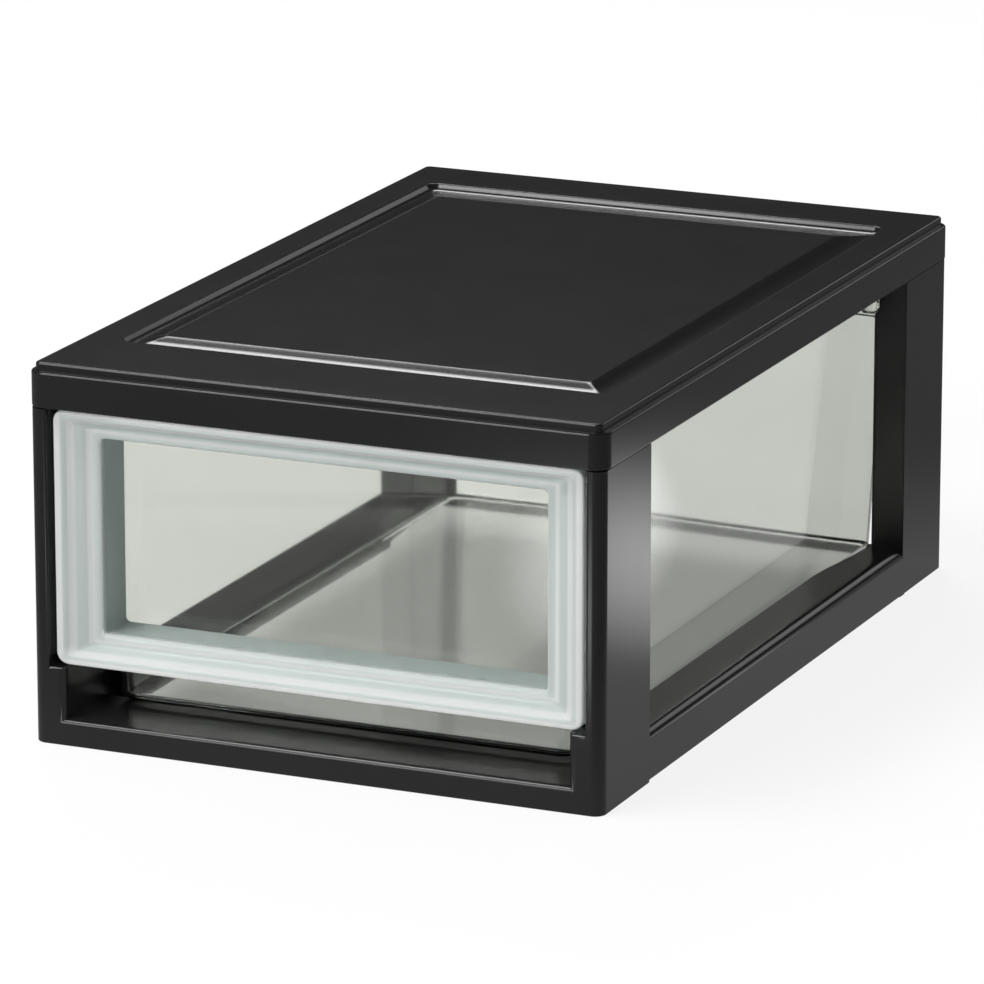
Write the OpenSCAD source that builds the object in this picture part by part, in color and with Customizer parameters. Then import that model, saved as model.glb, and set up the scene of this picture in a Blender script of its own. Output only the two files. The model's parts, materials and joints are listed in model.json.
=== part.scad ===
// Stackable drawer box: a black moulded case on four corner posts with one
// clear drawer that slides out to the front. Millimetres, origin at the
// middle of the footprint, +X right, +Y back, +Z up; the drawer is shut.

/* [Case] */
// Width over the corner posts
case_w = 220.6; // [200:0.1:250]
// Depth over the corner posts
case_d = 343.6; // [300:0.1:400]
// Height of the corner posts
post_h = 123.8; // [118:0.1:150]
// Thickness of the moulded walls
wall = 2.4; // [2:0.1:2.8]
// Plan radius of the upright outer corners
corner_r = 4.4; // [4:0.1:6]
// Radius of the rounded lower edge
foot_edge_r = 0.6; // [0.4:0.1:0.8]
// Clearance between mouldings that snap together
seat_gap = 0.3; // [0.2:0.05:0.4]

/* [Lid] */
// Height of the outer skirt
skirt_h = 13.1; // [11:0.1:14]
// How far the skirt stands proud of the posts
skirt_proud = 0.65; // [0.4:0.05:1]
// Width of the stacking ledge around the lid
ledge_w = 2.3; // [2.2:0.1:3]
// Height of the lid above the stacking ledge
plateau_h = 3; // [2.6:0.1:3.1]
// Rounding of the upper edges of the lid
lid_edge_r = 0.9; // [0.6:0.1:1.1]
// Plan radius of the skirt's corners
lid_r = 6.6; // [6:0.1:9]
// Plan radius of the raised lid's corners
plateau_r = 2.4; // [2:0.1:4]
// Thickness of the lid plate under the groove
plate_t = 2.4; // [2:0.1:3]
// Depth of the ring groove
groove_depth = 2.4; // [1.5:0.1:2.8]
// Distance from the plateau edge to the groove at the sides
groove_side = 13.2; // [12:0.1:16]
// Distance from the plateau edge to the groove at the front
groove_front = 39.2; // [30:0.1:45]
// Distance from the plateau edge to the groove at the rear
groove_rear = 26.9; // [22:0.1:40]
// Plan radius of the groove's outer corners
groove_r = 5; // [5:0.1:12]
// Width of the groove's steep outer wall
groove_wall_w = 3.4; // [2:0.1:4]
// Width of the groove's flat floor at the front and sides
groove_floor = 0.6; // [0.6:0.1:3]
// Width of the groove's flat floor at the rear
groove_floor_rear = 8.8; // [4:0.1:14]
// Width of the sloping edge of the raised panel
panel_slope_w = 9.9; // [7:0.1:12]

/* [Posts] */
// Depth of a front post, seen from the side
front_post_d = 43.3; // [36:0.1:50]
// Width of a front post, seen from the front
front_post_w = 13; // [12.6:0.1:14]
// Width of the post's face beside the drawer front
post_face_w = 6.6; // [5.8:0.1:7.2]
// Depth of the recess that takes the drawer front
recess_d = 12; // [11.5:0.1:14]
// Height of the step in the front posts
step_z = 29; // [27:0.1:29.3]
// Rounding of the front posts' lower inner edge
post_round_r = 3; // [1.5:0.1:3.5]
// Rounding of the edges around the recess
post_lip_r = 1.2; // [0.6:0.1:1.6]
// Depth of a rear post, seen from the side
rear_post_d = 44.8; // [38:0.1:52]
// Width of a rear post, seen from the front
rear_post_w = 13.5; // [12:0.1:13.8]
// Rounding of the posts' inner edges at the side openings
post_edge_r = 1.8; // [1:0.1:2.2]

/* [Rails] */
// Height of the front rail
front_rail_h = 9.7; // [8.5:0.1:11]
// Rounding of the front rail's upper edge
deck_edge_r = 2; // [1:0.1:2.2]
// Depth of the front rail's flat top
front_rail_d = 34; // [30:0.5:38]
// Height of the side rails
side_rail_h = 18.5; // [16:0.1:20]
// Gap between the side rails' inner edge and the tub
rail_side_gap = 0.4; // [0.3:0.05:1]
// Radius of the side rails' outer shoulder
rail_shoulder_r = 4; // [3:0.1:5]
// Drop of the side rails' top towards the drawer
rail_crown = 0.3; // [0:0.1:1]
// How far the side rails sit back from the front posts
rail_inset = 1.1; // [0.6:0.1:1.3]
// Length over which a side rail narrows into the rear post
rail_flare = 47; // [35:1:60]
// Height of the rear rail
rear_rail_h = 5.5; // [5:0.1:7]
// Depth of the rear rail
rear_rail_d = 9; // [6:0.1:10]
// Height of the base wall below the inner structure
nest_h = 3.4; // [3.3:0.1:3.8]
// Thickness of the base wall
base_wall = 1.4; // [1.3:0.05:1.5]
// Width of the runners under the drawer
runner_w = 9; // [7:0.5:11]
// Thickness of the runners under the drawer
runner_t = 2.2; // [1.8:0.1:2.6]

/* [Drawer front] */
// Side gap between the drawer front and the posts
front_side_gap = 1.7; // [1.4:0.05:2.4]
// Height of the drawer front
front_h = 94; // [91:0.1:94.3]
// Setback of the drawer front from the posts' front plane
front_setback = 2.5; // [1.8:0.1:3]
// Corner radius of the drawer front
front_r = 4.5; // [4:0.1:6]
// Depth of the drawer front's outer flange
flange_d = 9.5; // [9.3:0.1:9.8]
// Width of the frame at the sides of the window
band_side = 16.1; // [15.8:0.1:17]
// Width of the frame below the window
band_low = 11.4; // [11:0.1:12.5]
// Width of the frame above the window
band_high = 10.8; // [10.4:0.1:12]
// Width of the frame's flat outer rim
rim_w = 2.9; // [2.5:0.1:3.2]
// Depth of the window's edge behind the rim
window_depth = 6.6; // [6:0.1:7]
// Narrowing of the window sleeve towards the pane
sleeve_taper = 1.2; // [0.6:0.1:1.5]
// Wall thickness of the drawer front
front_wall = 2.2; // [2:0.1:2.4]
// Width of the small notch in the top edge
notch_w = 6.8; // [4:0.1:9]
// Depth of the small notch in the top edge
notch_h = 0.9; // [0.5:0.1:1.2]
// Distance of the notch's middle from the frame's side
notch_side = 15.7; // [14:0.1:20]

/* [Drawer tub] */
// Distance from the posts' front plane to the tub's pane
pane_depth = 24.3; // [23.8:0.1:25]
// Thickness of the tub's walls
tub_wall = 1.8; // [1.6:0.1:2.2]
// Gap between the tub's floor and the front rail
rail_gap = 1.2; // [0.8:0.1:2.4]
// Gap between the tub's floor and the runners
runner_gap = 0.3; // [0.2:0.05:0.4]
// Height of the tub
tub_h = 107.9; // [101:0.1:109]
// Side gap between the tub's top and the posts
tub_side_gap = 2.1; // [1.8:0.1:3]
// Narrowing of the tub from its top to its foot, on each side
tub_draft = 5.1; // [4.6:0.1:7]
// Rounding between the tub's floor and walls
tub_floor_r = 4; // [3:0.1:5]
// Plan radius of the tub's upright corners
tub_corner_r = 8; // [6:0.1:10]
// Gap between the tub's foot and the rear of the case
tub_rear_gap = 17.8; // [17:0.1:20]
// Lean of the tub's rear wall
tub_rear_lean = 3.5; // [2:0.1:4]
// Width of the tub's rolled rim
tub_rim_w = 0.9; // [0.6:0.1:1]
// Height of the tub's rolled rim
tub_rim_h = 2.2; // [1.8:0.1:3]
// Height of the thicker band on the tub's rear wall
band_h = 16.8; // [12:0.1:20]
// Distance of a stop lug from the rear post
lug_back = 2; // [1.6:0.1:2.4]
// Length of a stop lug
lug_l = 6.2; // [5:0.1:8]
// Height of a stop lug
lug_h = 6.8; // [5:0.1:9]
// How far a stop lug overlaps the front post
lug_reach = 3; // [2.6:0.1:5]
// Distance of a clip's middle from the tub's side
clip_side = 2; // [1.7:0.1:3]
// Width of a clip between the tub and the drawer front
clip_w = 3.4; // [3:0.1:4]
// Height of a clip between the tub and the drawer front
clip_h = 5.4; // [4.5:0.1:5.5]

/* [Hidden] */
black = [0.15, 0.15, 0.155];
clear = [0.80, 0.84, 0.80, 0.35];
milky = [0.82, 0.85, 0.84, 0.8];
eps = 0.01;
far = 1000;
$fn = 48;

px = case_w / 2;
py = case_d / 2;

// Lid levels
skirt_z = post_h + 0.5;
ledge_z = skirt_z + skirt_h;
lid_z = ledge_z + plateau_h;
plate_z = lid_z - groove_depth - plate_t;
skirt_x = px + skirt_proud;
skirt_y = py + skirt_proud;
plateau_x = skirt_x - ledge_w;
plateau_y = skirt_y - ledge_w;
groove_x = plateau_x - groove_side;
groove_y0 = -plateau_y + groove_front;
groove_y1 = plateau_y - groove_rear;
foot_x = groove_x - groove_wall_w - groove_floor;
foot_y0 = groove_y0 + groove_wall_w + groove_floor;
foot_y1 = groove_y1 - groove_wall_w - groove_floor_rear;
foot_r = panel_slope_w + 2;

// Spigot of the frames inside the skirt
spigot_x = skirt_x - wall - seat_gap;
spigot_y = skirt_y - wall - seat_gap;
spigot_r = lid_r - wall - seat_gap;
spigot_top = plate_z - seat_gap;
bridge_z = skirt_z + 0.9;

// Base
nest_x = px - base_wall;
nest_y = py - base_wall;
nest_r = plateau_r;

// Posts
front_post_x = px - front_post_w;
recess_x = px - post_face_w;
front_post_y = -py + front_post_d;
recess_y = -py + recess_d;
rear_post_x = px - rear_post_w;
rear_post_y = py - rear_post_d;
core_x = px - wall;

// Side rails
rail_y0 = front_post_y + seat_gap;
rail_y1 = rear_post_y + wall;
rail_len = rail_y1 - rail_y0;
rail_edge_y1 = rear_post_y - wall;
rail_turn = atan(rail_inset / (rear_post_y - rail_y0));
tongue_l = 12;
tongue_h = side_rail_h - wall - 1.5;

// Drawer front
front_x = recess_x - front_side_gap;
notch_x = front_x - notch_side;
front_top = post_h - 0.1;
front_bottom = front_top - front_h;
front_y = -py + front_setback;
flange_y = front_y + flange_d;
pane_y = -py + pane_depth;
sleeve_y = pane_y - seat_gap;

// Drawer tub
tub_head = front_post_x - tub_side_gap;
tub_foot = tub_head - tub_draft;
tub_z = front_rail_h + rail_gap;
tub_top = tub_z + tub_h;
runner_z = tub_z - runner_gap;
tub_y1 = py - tub_rear_gap;
shoulder_z = tub_z + tub_floor_r;
tub_rail_x = tub_foot + tub_draft * (side_rail_h - shoulder_z) / (tub_top - shoulder_z);
rail_x = tub_rail_x + rail_inset + rail_side_gap;
rim_x = tub_head + tub_rim_w;
lug_y1 = rear_post_y - lug_back;
lug_x = front_post_x + lug_reach;
clip_x = tub_head - clip_side;
clip_z = tub_top - clip_h - 1.4;
clip_y = flange_y - 1.5;

function mixed(a, b, t) = a + (b - a) * t;

// ---- shared shapes ----

// Flat rounded rectangle
module rounded_rect(hx, hy, r) {
    square([2 * (hx - r), 2 * hy], center = true);
    square([2 * hx, 2 * (hy - r)], center = true);
    for (sx = [-1, 1], sy = [-1, 1])
        translate([sx * (hx - r), sy * (hy - r)]) circle(r);
}

// Upright block with a rounded rectangle as its plan
module slab(hx, hy, r, z0, z1) {
    translate([0, 0, z0]) linear_extrude(height = z1 - z0) rounded_rect(hx, hy, r);
}

// Sweep of a flat section round a rounded rectangle; x = r is its edge
module ring_sweep(hx, hy, r) {
    for (sx = [0, 1], sy = [0, 1])
        mirror([sx, 0, 0]) mirror([0, sy, 0]) translate([hx - r, hy - r, 0])
            rotate_extrude(angle = 90) children();
    for (sx = [0, 1])
        mirror([sx, 0, 0]) translate([hx - r, 0, 0]) rotate([90, 0, 0])
            linear_extrude(height = 2 * (hy - r), center = true) children();
    for (sy = [0, 1])
        mirror([0, sy, 0]) translate([0, hy - r, 0]) rotate([90, 0, 90])
            linear_extrude(height = 2 * (hx - r), center = true) children();
}

// Section that rounds an outer edge at x = r, height z; up = 1 or -1
module edge_section(r, z, e, up) {
    difference() {
        translate([r - e, z - e]) square(2 * e);
        translate([r - e, z - up * e]) circle(e);
    }
}

// Cutter that rounds an upper or lower outer edge of a slab
module edge_cut(hx, hy, r, z, e, up) {
    ring_sweep(hx, hy, r) edge_section(r, z, e, up);
}

// Both of a pair of mirrored parts
module both_sides() {
    children();
    mirror([1, 0, 0]) children();
}

// Box from its low and high corners
module box(lo, hi) {
    translate(lo) cube([hi[0] - lo[0], hi[1] - lo[1], hi[2] - lo[2]]);
}

// ---- lid ----

// Sloping wall of the groove, section rising to x = r
module slope_section(r, w, z0, z1) {
    polygon([[r - w, z0], [r, z1], [r, z1 + 1], [r - w, z1 + 1]]);
}

// Sloping edge of the raised panel, section falling to x = r
module panel_section(r, w, z0, z1) {
    polygon([[r - w, z0 - eps], [r, z0 - eps], [r, z0], [r - w, z1]]);
}

// Ring groove around the raised panel
module groove() {
    z0 = lid_z - groove_depth;
    gy = (groove_y1 - groove_y0) / 2;
    py_mid = (foot_y1 + foot_y0) / 2;
    fy = (foot_y1 - foot_y0) / 2;
    difference() {
        translate([0, (groove_y1 + groove_y0) / 2, 0]) {
            slab(groove_x - groove_wall_w, gy - groove_wall_w, groove_r - groove_wall_w, z0, lid_z + 1);
            ring_sweep(groove_x, gy, groove_r) slope_section(groove_r, groove_wall_w, z0, lid_z);
        }
        translate([0, py_mid, 0]) {
            slab(foot_x - panel_slope_w, fy - panel_slope_w, foot_r - panel_slope_w, z0 - 1, lid_z + 2);
            ring_sweep(foot_x, fy, foot_r) panel_section(foot_r, panel_slope_w, z0, lid_z);
        }
    }
}

// Snapped-on lid with its skirt, stacking ledge, groove and raised panel
module top_panel() {
    color(black) difference() {
        union() {
            slab(skirt_x, skirt_y, lid_r, skirt_z, ledge_z);
            slab(plateau_x, plateau_y, plateau_r, ledge_z - 1, lid_z);
        }
        edge_cut(skirt_x, skirt_y, lid_r, ledge_z, lid_edge_r, 1);
        edge_cut(plateau_x, plateau_y, plateau_r, lid_z, lid_edge_r, 1);
        slab(skirt_x - wall, skirt_y - wall, lid_r - wall, skirt_z - 1, plate_z);
        groove();
    }
}

// ---- case frames ----

// Ring inside the skirt that the lid snaps over
module spigot_ring(z0) {
    difference() {
        slab(spigot_x, spigot_y, spigot_r, z0, spigot_top);
        slab(spigot_x - wall, spigot_y - wall, spigot_r - wall, z0 - 1, spigot_top + 1);
    }
}

// Outline of the case with a rounded lower edge, as high as the posts
module case_block() {
    difference() {
        slab(px, py, corner_r, 0, post_h);
        edge_cut(px, py, corner_r, 0, foot_edge_r, -1);
    }
}

// Room for the lid of the unit below
module nest_room() {
    slab(nest_x, nest_y, nest_r, -1, nest_h);
}

// Cutter that rounds an upright edge at x, y; the post lies towards +x and sy
module upright_cut(x, y, sy, r, z0, z1) {
    translate([x, y, z0]) scale([1, sy, 1]) linear_extrude(height = z1 - z0) difference() {
        translate([-1, -1]) square(r + 1);
        translate([r, r]) circle(r);
    }
}

// Right front post before it is hollowed
module front_post() {
    intersection() {
        case_block();
        difference() {
            box([front_post_x, -py - 1, 0], [px + 1, front_post_y, post_h]);
            box([front_post_x - 1, -py - 1, step_z], [recess_x, recess_y, post_h + 1]);
            upright_cut(front_post_x, -py, 1, post_round_r, -1, step_z + 1);
            upright_cut(recess_x, -py, 1, post_lip_r, step_z, post_h + 1);
            upright_cut(front_post_x, front_post_y, -1, post_edge_r, -1, post_h + 1);
            translate([front_post_x - 1, 0, 0]) rotate([90, 0, 90])
                linear_extrude(height = recess_x - front_post_x + 1)
                    mirror([1, 0]) edge_section(py, step_z, post_lip_r, 1);
        }
    }
}

// Hollow of the right front post, open below
module front_post_core() {
    x0 = front_post_x + wall;
    box([x0, recess_y + wall, -1], [core_x, front_post_y - wall, post_h - wall]);
    box([x0, -py + wall, -1], [core_x, recess_y + wall + 1, step_z - wall]);
    box([x0, front_post_y - wall - 1, -1], [core_x, front_post_y + 1, tongue_h + seat_gap]);
}

// Front frame: both front posts, the front rail and the hidden bridge
module front_frame() {
    color(black) {
        difference() {
            union() {
                both_sides() front_post();
                front_rail();
            }
            both_sides() front_post_core();
            nest_room();
        }
        difference() {
            spigot_ring(bridge_z);
            box([-far, front_post_y - seat_gap, 0], [far, far, far]);
        }
        both_sides() intersection() {
            spigot_ring(post_h - wall);
            box([recess_x - 1, -far, 0], [far, front_post_y - seat_gap, bridge_z + 1]);
        }
    }
}

// Section of the front rail; x = depth behind the front plane
module front_rail_section() {
    e = foot_edge_r;
    t = deck_edge_r;
    difference() {
        square([front_rail_d, front_rail_h]);
        translate([wall, -1]) square([front_rail_d - 2 * wall, front_rail_h - wall + 1]);
        translate([-1, -1]) square([e + 1, e + 1]);
        difference() {
            translate([-1, front_rail_h - t]) square([t + 1, t + 1]);
            translate([t, front_rail_h - t]) circle(t);
        }
        translate([front_rail_d - e, front_rail_h - e]) square([e + 1, e + 1]);
    }
    translate([e, e]) circle(e);
    translate([front_rail_d - e, front_rail_h - e]) circle(e);
}

// Front rail between the posts, with its flat top and back lip
module front_rail() {
    translate([0, -py, 0]) rotate([90, 0, 90])
        linear_extrude(height = 2 * (front_post_x + post_round_r + 1), center = true) front_rail_section();
}

// Plan of the right rear post with its rounded front edge
module rear_post_plan() {
    r = post_edge_r;
    translate([rear_post_x, rear_post_y + r]) square([rear_post_w, rear_post_d - r]);
    translate([rear_post_x + r, rear_post_y]) square([rear_post_w - r, r + 1]);
    translate([rear_post_x + r, rear_post_y + r]) circle(r);
}

// Right rear post before it is hollowed
module rear_post() {
    intersection() {
        case_block();
        linear_extrude(height = post_h) rear_post_plan();
    }
}

// Section of a side rail seen from the front; x outward, inset d
module rail_section(d) {
    r = rail_shoulder_r;
    top = side_rail_h - d;
    out = px - d;
    polygon([[rail_x - 1, -1], [out, -1], [out, top - r + d], [out - r + d, top],
             [core_x - rail_shoulder_r, top], [rail_x - 1, top - rail_crown]]);
    translate([px - r, side_rail_h - r]) circle(r - d);
}

// Plan of a side rail; its inner edge flares out into the rear post, inset d
module rail_plan(d) {
    y_flare = rear_post_y - rail_flare;
    polygon([[rail_x + d, rail_y0 - 1], [rail_x + d, y_flare],
             [mixed(rail_x, rear_post_x, 0.18) + d, mixed(y_flare, rear_post_y, 0.25)],
             [mixed(rail_x, rear_post_x, 0.66) + d, mixed(y_flare, rear_post_y, 0.62)],
             [rear_post_x + d, rear_post_y], [rear_post_x + d, rail_y1 + 1],
             [px + 1, rail_y1 + 1], [px + 1, rail_y0 - 1]]);
}

// Right side rail as a solid body, inset d
module rail_body(d) {
    intersection() {
        translate([0, rail_y1 - d, 0]) rotate([90, 0, 0])
            linear_extrude(height = rail_len - 2 * d) rail_section(d);
        translate([0, 0, -1]) linear_extrude(height = side_rail_h + 2) rail_plan(d);
    }
}

// Right side rail, turned so that its front end sits back from the post
module side_rail() {
    intersection() {
        translate([px, rear_post_y, 0]) rotate([0, 0, -rail_turn]) translate([-px, -rear_post_y, 0])
            difference() {
                rail_body(0);
                rail_body(wall);
                translate([0, rail_edge_y1, 0]) rotate([90, 0, 0])
                    linear_extrude(height = rail_edge_y1 - rail_y0 + 1) edge_section(px, 0, foot_edge_r, -1);
            }
        box([0, rail_y0, 0], [px, far, far]);
    }
}

// Tongue of the right side rail inside the front post
module rail_tongue() {
    x0 = front_post_x + wall + seat_gap;
    box([x0, front_post_y - tongue_l, nest_h], [core_x - seat_gap, rail_y0 + wall, tongue_h]);
}

// Runner under the right edge of the drawer
module runner() {
    x1 = rail_x + 1;
    box([x1 - runner_w, rail_y0 + wall, runner_z - runner_t], [x1, rear_post_y - rail_flare, runner_z]);
}

// Rear rail between the rear posts
module rear_rail() {
    box([-rear_post_x - 1, py - wall, 0], [rear_post_x + 1, py, rear_rail_h]);
    box([-rear_post_x - 1, py - rear_rail_d, rear_rail_h - wall], [rear_post_x + 1, py, rear_rail_h]);
}

// Rear frame: both rear posts, the rear rail, both side rails and the hidden bridge
module rear_frame() {
    color(black) {
        difference() {
            union() {
                both_sides() {
                    difference() {
                        rear_post();
                        box([rear_post_x + wall, rear_post_y + wall, -1], [core_x, py - wall, post_h - wall]);
                    }
                    side_rail();
                    rail_tongue();
                    runner();
                }
                intersection() {
                    case_block();
                    rear_rail();
                }
            }
            nest_room();
        }
        difference() {
            spigot_ring(bridge_z);
            box([-far, -far, 0], [far, rear_post_y + seat_gap, far]);
        }
        both_sides() intersection() {
            spigot_ring(post_h - wall);
            box([rear_post_x, rear_post_y + seat_gap, 0], [far, far, bridge_z + 1]);
        }
    }
}

// ---- drawer ----

// Thin level of the drawer front: insets from its outline at depth d
module front_level(d, side, low, high, r) {
    hz = (front_h - low - high) / 2;
    translate([0, front_y + d, front_bottom + low + hz]) rotate([90, 0, 0])
        linear_extrude(height = eps, center = true) rounded_rect(front_x - side, hz, r);
}

// Hollow of the dished frame between two levels of its section
module dish(a, b) {
    hull() {
        front_level(a[0], a[1], a[2], a[3], a[4]);
        front_level(b[0], b[1], b[2], b[3], b[4]);
    }
}

// Block with the outline of the drawer front, inset s, between two depths
module front_block(s, r, d0, d1) {
    translate([0, front_y + d0, front_bottom + front_h / 2]) rotate([-90, 0, 0])
        linear_extrude(height = d1 - d0) rounded_rect(front_x - s, front_h / 2 - s, r);
}

// Milky frame of the drawer front with its dished face and window sleeve
module drawer_front() {
    w = window_depth;
    sleeve_d = sleeve_y - front_y;
    hz = (front_h - band_low - band_high) / 2;
    zc = front_bottom + band_low + hz;
    rim = [-eps, rim_w, rim_w, rim_w, front_r - rim_w + 1.4];
    bevel = [0.4 * w, 0.4 * band_side, 0.42 * band_low, 0.42 * band_high, 2.8];
    slope = [0.8 * w, 0.75 * band_side, 0.62 * band_low, 0.62 * band_high, 2.4];
    lip = [w, band_side, band_low, band_high, 2];
    pane = [sleeve_d + 1, band_side + sleeve_taper, band_low + 0.5, band_high + 0.5, 2];
    color(milky) difference() {
        union() {
            difference() {
                front_block(0, front_r, 0, flange_d);
                translate([0, front_y, front_bottom + front_h / 2]) rotate([90, 0, 0])
                    edge_cut(front_x, front_h / 2, front_r, 0, 0.9, 1);
                difference() {
                    front_block(front_wall, front_r - front_wall, w + front_wall - 1, flange_d + 1);
                    translate([0, -py, zc]) rotate([-90, 0, 0])
                        linear_extrude(height = 2 * flange_d) rounded_rect(front_x - band_side + front_wall,
                                                                           hz + front_wall, 4);
                }
            }
            translate([0, front_y + w, zc]) rotate([-90, 0, 0])
                linear_extrude(height = sleeve_d - w) rounded_rect(front_x - band_side + front_wall,
                                                                   hz + front_wall, 4);
        }
        dish(rim, bevel);
        dish(bevel, slope);
        dish(slope, lip);
        dish(lip, pane);
        box([notch_x - notch_w / 2, front_y - 1, front_top - notch_h],
            [notch_x + notch_w / 2, flange_y + 1, front_top + 1]);
    }
}

// Thin level of the tub at height z, inset s from its outer face
module tub_level(z, s, r) {
    t = (z - shoulder_z) / (tub_top - shoulder_z);
    hx = mixed(tub_foot, tub_head, t) - s;
    y0 = pane_y + s;
    y1 = tub_y1 + tub_rear_lean * (t - 1) - s;
    translate([0, (y0 + y1) / 2, z]) linear_extrude(height = eps) rounded_rect(hx, (y1 - y0) / 2, r);
}

// Body of the tub, inset d, from its rounded floor to height top
module tub_body(d, top) {
    r = tub_floor_r - d;
    z = shoulder_z;
    hull() {
        tub_level(z - r, d + r, tub_corner_r - tub_floor_r);
        tub_level(z - 0.924 * r, d + 0.617 * r, tub_corner_r - d - 0.617 * r);
        tub_level(z - 0.707 * r, d + 0.293 * r, tub_corner_r - d - 0.293 * r);
        tub_level(z - 0.383 * r, d + 0.076 * r, tub_corner_r - d - 0.076 * r);
        tub_level(z, d, tub_corner_r - d);
        tub_level(top - eps, d, tub_corner_r - d);
    }
}

// Rolled rim, rear band, stop lugs and clips around the tub
module tub_fittings() {
    rim_y = tub_y1 + tub_rim_w;
    translate([0, (pane_y + rim_y) / 2, 0])
        slab(rim_x, (rim_y - pane_y) / 2, tub_corner_r, tub_top - tub_rim_h, tub_top);
    box([tub_corner_r - tub_head, tub_y1 - 10, tub_top - band_h], [tub_head - tub_corner_r, rim_y, tub_top]);
    both_sides() {
        box([tub_foot, lug_y1 - lug_l, tub_top - lug_h], [lug_x, lug_y1, tub_top]);
        box([clip_x - clip_w / 2, clip_y, clip_z],
            [clip_x + clip_w / 2, pane_y + tub_wall + 2, clip_z + clip_h]);
    }
}

// Clear drawer tub
module drawer_tub() {
    color(clear) difference() {
        union() {
            tub_body(0, tub_top);
            tub_fittings();
        }
        tub_body(tub_wall, tub_top + 5);
    }
}

top_panel();
front_frame();
rear_frame();
drawer_tub();
drawer_front();
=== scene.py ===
"""Dressed model of a stackable drawer box in a plain white studio.

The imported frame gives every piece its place. The lid, the clear tub and the
milky drawer front are lofted again with their fine fillets, the two case
frames get their small moulded edge radii, and every piece gets a procedural
plastic. Sizes in the classes of the pieces are millimetres; the studio and
the meshes are in metres.
"""

from __future__ import annotations

import json
import logging
import math
from dataclasses import dataclass
from enum import Enum
from typing import ClassVar, Sequence

import bmesh
import bpy
from bmesh.types import BMesh
from bpy.types import GeometryNodeTree, Material, Mesh, Node, NodeSocket, NodeTree, Object, ShaderNodeTree
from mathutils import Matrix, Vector

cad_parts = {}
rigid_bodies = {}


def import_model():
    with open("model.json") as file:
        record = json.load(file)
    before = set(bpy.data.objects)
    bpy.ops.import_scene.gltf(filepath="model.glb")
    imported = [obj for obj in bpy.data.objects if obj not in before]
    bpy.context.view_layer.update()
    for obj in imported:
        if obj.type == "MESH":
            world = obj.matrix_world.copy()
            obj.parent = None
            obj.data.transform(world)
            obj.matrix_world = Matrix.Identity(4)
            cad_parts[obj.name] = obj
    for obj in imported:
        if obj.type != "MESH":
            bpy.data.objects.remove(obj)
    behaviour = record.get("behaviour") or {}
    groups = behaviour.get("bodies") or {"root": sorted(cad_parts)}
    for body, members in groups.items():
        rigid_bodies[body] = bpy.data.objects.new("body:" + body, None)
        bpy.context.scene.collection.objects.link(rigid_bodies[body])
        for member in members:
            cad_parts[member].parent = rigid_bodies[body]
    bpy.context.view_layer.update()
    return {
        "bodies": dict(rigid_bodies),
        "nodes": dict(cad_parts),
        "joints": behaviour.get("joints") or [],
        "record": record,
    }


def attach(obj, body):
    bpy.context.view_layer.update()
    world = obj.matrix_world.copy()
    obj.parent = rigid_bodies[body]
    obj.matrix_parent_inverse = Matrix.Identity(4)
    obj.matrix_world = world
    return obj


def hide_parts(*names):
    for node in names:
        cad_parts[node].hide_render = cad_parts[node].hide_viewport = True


LOG = logging.getLogger("drawer_box")
Colour = tuple[float, float, float]
Place = tuple[float, float, float]

MM = 0.001
MERGE = 1e-6  # Points of a new piece that lie closer than this become one, in metres.
CAD_MERGE = 2e-6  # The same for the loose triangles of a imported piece.
LEAST_RADIUS = 0.2  # A ring that is moved in keeps corners of at least this radius, in millimetres.
FACE_WEIGHT = 60  # How strongly the large faces pull the normals at their edges.


class Slot(Enum):
    """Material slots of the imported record."""

    CASE = "case_plastic"
    CLEAR = "clear_plastic"
    MILKY = "milky_plastic"


class Body(Enum):
    """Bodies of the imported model."""

    CASE = "case"
    DRAWER = "drawer"


class Axis(Enum):
    """Direction in which the loops of a loft are stacked."""

    UP = "up"
    BACK = "back"


# ---------------------------------------------------------------- lofted meshes


@dataclass(frozen=True)
class Ring:
    """One rounded rectangle of a loft, in millimetres.

    Args:
        half_x: Half of its width.
        half_y: Half of its other side.
        radius: Corner radius.
        level: Place along the loft's axis.
        mid_y: Place of its middle along its other side.
    """

    half_x: float
    half_y: float
    radius: float
    level: float
    mid_y: float = 0.0

    def inset(self, side: float, level: float) -> Ring:
        """Return the ring moved in by side on all sides, at another level."""
        radius = max(self.radius - side, LEAST_RADIUS)
        return Ring(self.half_x - side, self.half_y - side, radius, level, self.mid_y)

    def towards(self, other: Ring, share: float, rise: float) -> Ring:
        """Return a ring between this one and another.

        Args:
            other: The ring at the end of the way.
            share: Share of the way that the outline has gone.
            rise: Share of the way that the level has gone.

        Returns:
            The ring.
        """
        here = (self.half_x, self.half_y, self.radius, self.mid_y)
        there = (other.half_x, other.half_y, other.radius, other.mid_y)
        half_x, half_y, radius, mid_y = (a + (b - a) * share for a, b in zip(here, there))
        return Ring(half_x, half_y, radius, self.level + (other.level - self.level) * rise, mid_y)

    def points(self, steps: int, axis: Axis) -> list[Vector]:
        """Return the ring's corners in metres.

        Args:
            steps: Segments in each rounded corner.
            axis: Direction in which the loft is stacked.

        Returns:
            The points, once around.
        """
        out: list[Vector] = []
        for k, (sx, sy) in enumerate(((1, 1), (-1, 1), (-1, -1), (1, -1))):
            for i in range(steps + 1):
                a = math.radians(90.0 * (k + i / steps))
                x = sx * (self.half_x - self.radius) + self.radius * math.cos(a)
                y = self.mid_y + sy * (self.half_y - self.radius) + self.radius * math.sin(a)
                p = (x, y, self.level) if axis is Axis.UP else (x, self.level, y)
                out.append(Vector(p) * MM)
        return out


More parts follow.
